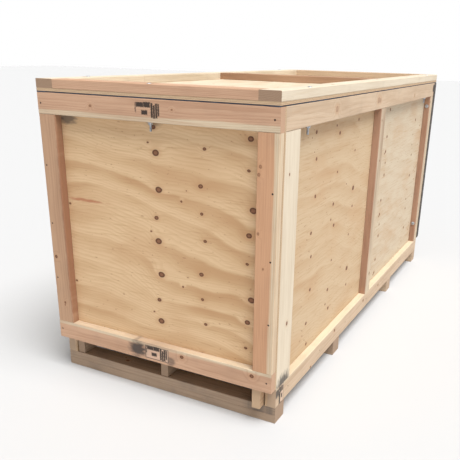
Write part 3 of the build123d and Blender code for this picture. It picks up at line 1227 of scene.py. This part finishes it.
@dataclass
class FrontPanel(Assembly):
    """The nailed end panel: a knotty sheet behind two rails and two stiles."""

    title: str = "front panel"
    mark_size: float = 0.105
    corner_reach: tuple[float, float] = (0.075, 0.035)

    def build(self) -> None:
        """Dress the panel's boards and sheet."""
        stile, rail = Extent.of("front_panel_left_stile"), Extent.of("front_panel_top_rail")
        sheet = Extent.of("front_panel_sheet")
        inner_edge = stile.centre.x + stile.half.x
        rail_edge = rail.centre.z - rail.half.z - sheet.centre.z
        beside = self.mark_size
        wood = Timber(
            self.title,
            boards={
                "front_panel_top_rail": (Grain.CROSSWISE, plain_board(
                    3, Tone.ROSY, 0.54, sap_from=-0.022, sap_above=False, knot_depth=0.7, end_pale=0.75,
                    marks=(InkMark(0.0, 0.0, self.mark_size),))),
                "front_panel_bottom_rail": (Grain.CROSSWISE, plain_board(
                    5, Tone.ROSY, 0.54, sap_from=0.030, grime=0.12, mottle=0.48, end_pale=0.75,
                    smudges=(StainAndShade(-beside, 0.0, 0.06, 0.05),
                             StainAndShade(beside * 0.7, -0.02, 0.03, 0.03, 0.6)),
                    marks=(InkMark(0.0, 0.0, self.mark_size, backing=True),))),
                "front_panel_left_stile": (Grain.UPRIGHT, plain_board(
                    7, Tone.CLAY, 0.45, mottle=0.34,
                    # painted shade: the stile's inner side face, in the recess, darkened with a russet patch
                    smudges=(StainAndShade(0.0, stile.half.x, 0.70, 0.012, 0.9, (0.300, 0.145, 0.080)),))),
                "front_panel_right_stile": (Grain.UPRIGHT, plain_board(
                    9, Tone.AMBER, 0.45, sap_from=0.024, ring_strength=0.35, knot_depth=0.6)),
            },
            sheets={
                "front_panel_sheet": (Grain.CROSSWISE, peeled_sheet(
                    2, Whorls(first=0.0, step=0.22, count=3, radius=0.0105),
                    turn=0.37, turn_start=-0.08, half_length=0.5,
                    smudges=(
                        # a grey stain in the corner under the top rail, darkened further as painted shade of
                        # the rail and the stile
                        StainAndShade(inner_edge + 0.03, rail_edge - 0.012, *self.corner_reach, 0.85,
                               (0.150, 0.115, 0.085)),
                        StainAndShade(inner_edge + 0.10, 0.12, 0.13, 0.010, 0.75, (0.400, 0.150, 0.075)),
                        # painted shadow: a thin darker line just under the top rail
                        StainAndShade(0.0, rail_edge - 0.008, 0.05, 0.012, 0.45, (0.150, 0.110, 0.085))))),
            },
        )
        wood.build()


@dataclass
class SideWalls(Assembly):
    """Both side walls: two sheets each behind two rails and three posts."""

    title: str = "side walls"
    mark_size: float = 0.075
    split_run: float = 0.12

    def wood(self, side: str, seed: int) -> Timber:
        """The wood of one wall.

        Args:
            side: "left" or "right".
            seed: Keeps the two walls' grain apart.

        Returns:
            The wall's boards and sheets.
        """
        right = side == "right"
        post, rail = Extent.of(f"{side}_front_post"), Extent.of(f"{side}_bottom_rail")
        rear_post, rear_sheet = Extent.of(f"{side}_rear_post"), Extent.of(f"{side}_wall_rear_sheet")
        mark_place = self.mark_size * 0.75 - rail.half.y
        post_edge = rear_post.centre.y - rear_post.half.y - rear_sheet.centre.y
        return Timber(
            f"{side} wall",
            boards={
                f"{side}_top_rail": (Grain.LENGTHWISE, plain_board(
                    seed, Tone.TAN, 1.25, ring_strength=0.45, knot_depth=0.35, mottle=0.34, end_pale=0.5,
                    knots=scattered_knots(seed, 1.2, 0.015, 4, 0.013))),
                f"{side}_bottom_rail": (Grain.LENGTHWISE, plain_board(
                    seed + 1, Tone.TAN, 1.25, sap_from=0.036, end_pale=0.5,
                    smudges=(StainAndShade(mark_place - self.mark_size / 2, 0.02, 0.05, 0.03, 0.85),)
                    if right else (),
                    marks=(InkMark(mark_place, 0.0, self.mark_size, turned=True, backing=True),)
                    if right else ())),
                f"{side}_front_post": (Grain.UPRIGHT, plain_board(
                    seed + 2, Tone.PALE, post.half.z, ring_strength=0.28, grime=0.04,
                    smudges=(StainAndShade(-post.half.z, 0.0, 0.06, 0.085, 0.85),) if right else ())),
                f"{side}_middle_post": (Grain.UPRIGHT, plain_board(
                    seed + 3, Tone.RUSSET, post.half.z, sap_from=-0.036, ring_strength=0.4, mottle=0.5)),
                f"{side}_rear_post": (Grain.UPRIGHT, plain_board(
                    seed + 4, Tone.RUSSET, post.half.z, sap_from=-0.034, ring_strength=0.4)),
            },
            sheets={
                f"{side}_wall_front_sheet": (Grain.LENGTHWISE, peeled_sheet(
                    seed + 5, Whorls(first=-0.23, step=0.28, count=3, radius=0.0095),
                    turn=0.44, turn_start=-0.13, half_length=0.6, contrast=0.6,
                    pale=(0.585, 0.438, 0.280), dune=(0.475, 0.303, 0.167))),
                f"{side}_wall_rear_sheet": (Grain.LENGTHWISE, peeled_sheet(
                    seed + 6, Whorls(first=-0.38, step=0.70, count=2, branches=4, radius=0.0080),
                    turn=0.38, turn_start=-0.29, half_length=0.6, contrast=0.6,
                    pale=(0.600, 0.500, 0.368), dune=(0.500, 0.365, 0.236),
                    splits=(Split((post_edge - self.split_run, 0.02), (post_edge, 0.06)),))),
            },
        )

    def build(self) -> None:
        """Dress both walls."""
        self.wood("left", 31).build()
        self.wood("right", 11).build()


@dataclass
class RearPanel(Assembly):
    """The removable end panel with its rubber edge strips and foam gasket."""

    title: str = "rear panel"
    strip_ease: float = 0.0008

    def build(self) -> None:
        """Dress the panel and make its seals."""
        Timber(
            self.title,
            boards={
                "rear_panel_top_rail": (Grain.CROSSWISE, plain_board(51, Tone.TAN, 0.54)),
                "rear_panel_bottom_rail": (Grain.CROSSWISE, plain_board(52, Tone.ROSY, 0.54, sap_from=0.02)),
                "rear_panel_left_stile": (Grain.UPRIGHT, plain_board(53, Tone.PALE, 0.45)),
                "rear_panel_right_stile": (Grain.UPRIGHT, plain_board(54, Tone.ROSY, 0.45)),
            },
            sheets={"rear_panel_sheet": (Grain.CROSSWISE, plain_sheet(55, 0.5))},
        ).build()
        gasket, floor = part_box("rear_gasket"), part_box("floor_rear_sheet")
        inner = {side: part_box(f"{side}_wall_rear_sheet") for side in ("left", "right")}
        low, high = Vector(gasket[0]), Vector(gasket[1])
        left_edge, right_edge = inner["left"][1][0], inner["right"][0][0]
        strips = (
            TapeStrip(low, Vector((left_edge, high.y, high.z)), run=2, press=1),
            TapeStrip(Vector((right_edge, low.y, low.z)), high, run=2, press=1),
            TapeStrip(Vector((left_edge, low.y, low.z)), Vector((right_edge, high.y, floor[1][2])),
                      run=0, press=1),
        )
        tape = SoftGoods.tape("rear_gasket", strips, ["rear_panel_bolts"],
                              FoamFinish("rear_foam_tape").dress())
        rubber = RubberFinish().dress()
        seals = [SoftGoods.strip(f"rear_{side}_edge_strip", rubber, self.strip_ease)
                 for side in ("left", "right")]
        self.report([piece.name for piece in (tape, *seals)])


@dataclass
class Lid(Assembly):
    """The bolted lid: two sheets on foam under cleats laid flat."""

    title: str = "lid"
    weathered: dict[str, Any] = field(default_factory=lambda: {
        "pale": (0.690, 0.590, 0.440), "dune": (0.540, 0.420, 0.290), "contrast": 0.7})

    def build(self) -> None:
        """Dress the lid's boards, sheets and foam."""
        Timber(
            self.title,
            boards={
                "lid_front_cleat": (Grain.CROSSWISE, plain_board(61, Tone.ROSY, 0.45, mottle=0.36)),
                "lid_rear_cleat": (Grain.CROSSWISE, plain_board(62, Tone.TAN, 0.45, mottle=0.3)),
                "lid_cross_cleat": (Grain.CROSSWISE, plain_board(63, Tone.CLAY, 0.45, mottle=0.7)),
                "lid_right_cleat": (Grain.LENGTHWISE, plain_board(
                    64, Tone.PALE, 1.3, ring_strength=0.3, end_pale=0.05)),
                "lid_left_front_cleat": (Grain.LENGTHWISE, plain_board(65, Tone.PALE, 0.3, end_pale=0.05)),
                "lid_left_rear_cleat": (Grain.LENGTHWISE, plain_board(66, Tone.PALE, 1.0, mottle=0.6)),
            },
            sheets={
                "lid_front_sheet": (Grain.LENGTHWISE, plain_sheet(67, 0.7, **self.weathered)),
                "lid_rear_sheet": (Grain.LENGTHWISE, plain_sheet(68, 0.6, **self.weathered)),
            },
        ).build()
        low, high = (Vector(corner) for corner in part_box("lid_gasket"))
        wide = high.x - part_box("right_wall_front_sheet")[0][0]
        strips = (
            TapeStrip(low, Vector((low.x + wide, high.y, high.z)), run=1, press=2),
            TapeStrip(Vector((high.x - wide, low.y, low.z)), high, run=1, press=2),
            TapeStrip(Vector((low.x + wide, low.y, low.z)),
                      Vector((high.x - wide, low.y + wide, high.z)), run=0, press=2),
            TapeStrip(Vector((low.x + wide, high.y - wide, low.z)),
                      Vector((high.x - wide, high.y, high.z)), run=0, press=2),
        )
        tape = SoftGoods.tape("lid_gasket", strips, ["lid_bolts"],
                              FoamFinish("lid_foam_tape").dress())
        self.report([tape.name])


@dataclass
class Base(Assembly):
    """Four doubled cross skids, three stringers and the floor deck."""

    title: str = "base"
    soot: StainAndShade = StainAndShade(along=0.500, across=0.0, reach_along=0.120, reach_across=0.080,
                          strength=0.75, colour=(0.090, 0.080, 0.072))

    def build(self) -> None:
        """Dress the base's boards and sheets."""
        boards: dict[str, tuple[Grain, LumberFinish]] = {}
        for number in range(1, 5):
            for layer, name in enumerate(("lower", "upper")):
                seed = 70 + 2 * number + layer
                sooty = number == 1 and name == "upper"
                # the first two skids take the darker tone: weathering and painted shade under the crate
                boards[f"skid_{number}_{name}_board"] = (Grain.CROSSWISE, plain_board(
                    seed, Tone.DUSTY_AND_SHADED if number < 3 else Tone.TAN, 0.55, grime=0.35, saw_marks=0.8,
                    end_pale=0.5, smudges=(self.soot,) if sooty else ()))
        for number, side in enumerate(("left", "middle", "right")):
            # the left and middle stringers take the darker tone as painted shade; the right one, standing
            # forward into the light, keeps a plain tone
            boards[f"{side}_stringer"] = (Grain.LENGTHWISE, plain_board(
                81 + number, Tone.HONEY if side == "right" else Tone.DUSTY_AND_SHADED, 1.25, grime=0.2, saw_marks=0.6,
                end_pale=0.55))
        Timber(
            self.title,
            boards=boards,
            sheets={
                "floor_front_sheet": (Grain.CROSSWISE, plain_sheet(85, 0.5, ply_count=7)),
                "floor_rear_sheet": (Grain.CROSSWISE, plain_sheet(86, 0.5, ply_count=7)),
            },
        ).build()


@dataclass
class Hardware(Assembly):
    """Bolts, washers, nuts and nails, each grown on the seats that the frame gives."""

    title: str = "hardware"
    bolt_radius: float = 0.005
    nut_bore: float = 0.00505
    washer_bore: float = 0.0055
    dome_height: float = 0.003
    hexagon_height: float = 0.0064
    thread_length: float = 0.062
    thread_pitch: float = 0.0015
    nail_radius: float = 0.0019
    nail_head_height: float = 0.0012

    def build(self) -> None:
        """Grow and place all the hardware."""
        zinc = ZincFinish().dress()
        steel = NailSteelFinish().dress()
        domed = self._bolt_pattern("domed_bolt", zinc, hexagon=False)
        hexed = self._bolt_pattern("hexagon_bolt", zinc, hexagon=True)
        nut = self._ring_pattern("nut", zinc, 6)
        washer = self._ring_pattern("washer", zinc, 40)
        nail = self._nail_pattern(steel)
        self._grow(domed, "lid_bolts", Way.DOWN, self._bolt_sizes(self.dome_height))
        self._grow(hexed, "rear_panel_bolts", Way.REARWARD, self._bolt_sizes(self.hexagon_height))
        self._grow(nut, "lid_nuts", Way.DOWN, {"Bore": self.nut_bore})
        self._grow(nut, "rear_panel_nuts", Way.REARWARD, {"Bore": self.nut_bore})
        self._grow(washer, "lid_nut_washers", Way.DOWN, {"Bore": self.washer_bore})
        for node in ("rear_panel_head_washers", "rear_panel_nut_washers"):
            self._grow(washer, node, Way.REARWARD, {"Bore": self.washer_bore})
        nail_sizes = {"Shank radius": self.nail_radius, "Head height": self.nail_head_height}
        self._grow(nail, "front_panel_nails", Way.REARWARD, nail_sizes)
        self._grow(nail, "skid_nails", Way.UP, nail_sizes)
        self._grow_wall_nails(nail, nail_sizes)

    def _bolt_sizes(self, head_height: float) -> dict[str, float]:
        """The named inputs of a bolt with one kind of head."""
        return {"Shank radius": self.bolt_radius, "Head height": head_height,
                "Thread length": self.thread_length, "Thread pitch": self.thread_pitch}

    def _bolt_pattern(self, name: str, finish: bpy.types.Material, hexagon: bool) -> Pattern:
        """A bolt with a domed or a chamfered hexagon head.

        Args:
            name: The tree's name.
            finish: The bolt's material.
            hexagon: Whether the head is a hexagon.

        Returns:
            The pattern.
        """
        tree = Pattern(name)
        radius, length = tree.size("Shank radius"), tree.size("Length")
        head, height = tree.size("Head radius"), tree.size("Head height")
        thread, pitch = tree.size("Thread length"), tree.size("Thread pitch")
        if hexagon:
            top = tree.turned(6, ((0.0, head * 0.90), (height * 0.14, head), (height, head)))
        else:
            steps = ((0.0, 0.10), (0.10, 0.42), (0.30, 0.68), (0.58, 0.88), (0.82, 0.97), (1.0, 1.0))
            top = tree.turned(32, [(height * rise, head * share) for rise, share in steps])
        plain = length - thread
        core = radius - 0.00068
        shank = tree.turned(20, (
            (height, radius), (plain, radius), (plain + 0.001, core), (length - 0.001, core),
            (length, core * 0.86)))
        ridge = tree.thread(radius, plain + 0.0012, thread - 0.0024, pitch)
        tree.close(tree.joined((top, shank, ridge)), finish, seed=4)
        return tree

    def _ring_pattern(self, name: str, finish: bpy.types.Material, sides: int) -> Pattern:
        """A bored plate: a nut with six sides, or a washer with many.

        Args:
            name: The tree's name.
            finish: Its material.
            sides: How many sides it has.

        Returns:
            The pattern.
        """
        tree = Pattern(name)
        radius, depth, bore = tree.size("Head radius"), tree.size("Length"), tree.size("Bore")
        ease = depth * 0.14
        plate = tree.turned(sides, (
            (0.0, radius * 0.955), (ease, radius), (depth - ease, radius), (depth, radius * 0.955)))
        tree.close(tree.bored(plate, bore, depth), finish, seed=9)
        return tree

    def _nail_pattern(self, finish: bpy.types.Material) -> Pattern:
        """A common nail with a flat head, a straight shank and a cut point."""
        tree = Pattern("nail")
        radius, length = tree.size("Shank radius"), tree.size("Length")
        head, height = tree.size("Head radius"), tree.size("Head height")
        body = tree.turned(14, (
            (0.0, head * 0.86), (height * 0.30, head), (height * 0.85, head), (height, radius),
            (length - 0.006, radius), (length, radius * 0.15)))
        tree.close(body, finish, seed=2)
        return tree

    def _grow(self, pattern: Pattern, node: str, way: Way, sizes: dict[str, float],
              parts: Optional[Sequence[Extent]] = None, name: Optional[str] = None) -> bpy.types.Object:
        """Grow one node's fasteners and let them stand for it.

        Args:
            pattern: The tree that shapes them.
            node: The frame node that they stand for.
            way: The way that they go in.
            sizes: The tree's named inputs that the frame doesn't give.
            parts: The solids to grow on, if not all of the node's.
            name: The piece's name, if not made from the node's.

        Returns:
            The piece.
        """
        parts = parts or loose_parts(node)
        half_length = parts[0].half[way.axis]
        reach = max(parts[0].half[axis] for axis in range(3) if axis != way.axis)
        seats = [part.centre - Vector(way.value) * half_length for part in parts]
        piece = pattern.grow(name or f"{node}_detailed", seats, {
            **sizes, "Length": 2 * half_length, "Head radius": reach, "Way": way.value})
        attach(piece, BODY_OF[node])
        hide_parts(node)
        self.report([piece.name])
        return piece

    def _grow_wall_nails(self, nail: Pattern, sizes: dict[str, float]) -> None:
        """Grow the side walls' nails, which go in from both sides."""
        parts = loose_parts("side_wall_nails")
        for side, way, chosen in (
            ("left", Way.TO_RIGHT, [part for part in parts if part.centre.x < 0]),
            ("right", Way.TO_LEFT, [part for part in parts if part.centre.x > 0]),
        ):
            self._grow(nail, "side_wall_nails", way, sizes, chosen, f"{side}_wall_nails_detailed")


@dataclass
class Studio:
    """Floor, light and camera."""

    floor_reach: float = 40.0
    sky: float = 0.34
    haze_top: float = 0.25
    eye: tuple[float, float, float] = (1.462, -3.356, 1.490)
    heading: float = 26.29
    tilt: float = 20.86
    roll: float = 1.32
    lens: float = 47.57
    shift: tuple[float, float] = (-0.0519, 0.1171)

    def build(self) -> None:
        """Set the floor, the lights and the camera."""
        scene = bpy.context.scene
        scene.view_settings.view_transform = "Standard"
        self._floor()
        self._sky(scene)
        self._lamp("key_light", 4.6, (0.40, -0.22, 1.0), 40.0)
        self._lamp("fill_light", 0.26, (0.55, -1.0, 0.35), 60.0)
        self._camera(scene)
        log.info("studio: floor, sky, key_light, fill_light, camera")

    def _floor(self) -> None:
        """A wide plain floor just under the skids."""
        mesh = bpy.data.meshes.new("floor")
        shape = bmesh.new()
        bmesh.ops.create_grid(shape, x_segments=1, y_segments=1, size=self.floor_reach)
        shape.to_mesh(mesh)
        shape.free()
        floor = bpy.data.objects.new("floor", mesh)
        bpy.context.scene.collection.objects.link(floor)
        recipe = Recipe("studio_floor")
        mesh.materials.append(recipe.finish((0.55, 0.55, 0.55), 0.9))

    def _sky(self, scene: bpy.types.Scene) -> None:
        """A white surround, brightest near the horizon."""
        world = bpy.data.worlds.new("surround")
        world.use_nodes = True
        world.node_tree.nodes.clear()
        bench = Bench(world.node_tree)
        way = bench.node("ShaderNodeTexCoord", {}, {}).outputs["Generated"]
        split = bench.node("ShaderNodeSeparateXYZ", {}, {0: way})
        height = Value(bench, split.outputs[2])
        strength = self.sky + height.fall(self.haze_top / 2, self.haze_top) * (1.0 - self.sky)
        shell = bench.node("ShaderNodeBackground", {}, {"Color": (1.0, 1.0, 1.0), "Strength": strength})
        bench.node("ShaderNodeOutputWorld", {}, {"Surface": shell.outputs[0]})
        scene.world = world

    def _lamp(self, name: str, strength: float, source: tuple[float, float, float], spread: float) -> None:
        """A soft distant lamp.

        Args:
            name: Its name.
            strength: Its brightness.
            source: The direction it comes from.
            spread: How wide it looks, in degrees.
        """
        light = bpy.data.lights.new(name, "SUN")
        light.energy = strength
        light.angle = math.radians(spread)
        lamp = bpy.data.objects.new(name, light)
        lamp.rotation_euler = Vector(source).to_track_quat("Z", "Y").to_euler()
        bpy.context.scene.collection.objects.link(lamp)

    def _camera(self, scene: bpy.types.Scene) -> None:
        """The camera, seen from the front right and a little above the lid."""
        data = bpy.data.cameras.new("camera")
        data.sensor_width = 36.0
        data.lens = self.lens
        data.shift_x, data.shift_y = self.shift
        camera = bpy.data.objects.new("camera", data)
        aim = (Matrix.Rotation(math.radians(self.heading), 4, "Z")
               @ Matrix.Rotation(math.radians(90.0 - self.tilt), 4, "X")
               @ Matrix.Rotation(math.radians(self.roll), 4, "Z"))
        camera.matrix_world = Matrix.Translation(self.eye) @ aim
        scene.collection.objects.link(camera)
        scene.camera = camera


def main() -> None:
    """Dress the whole crate and set it in the studio."""
    logging.basicConfig(level=logging.INFO, format="%(name)s %(message)s")
    FRAME.update(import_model())
    for body, nodes in FRAME["record"]["behaviour"]["bodies"].items():
        BODY_OF.update({node: body for node in nodes})
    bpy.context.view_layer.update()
    for group in (Base(), SideWalls(), FrontPanel(), RearPanel(), Lid(), Hardware()):
        group.build()
    Studio().build()


if __name__ == "__main__":
    main()
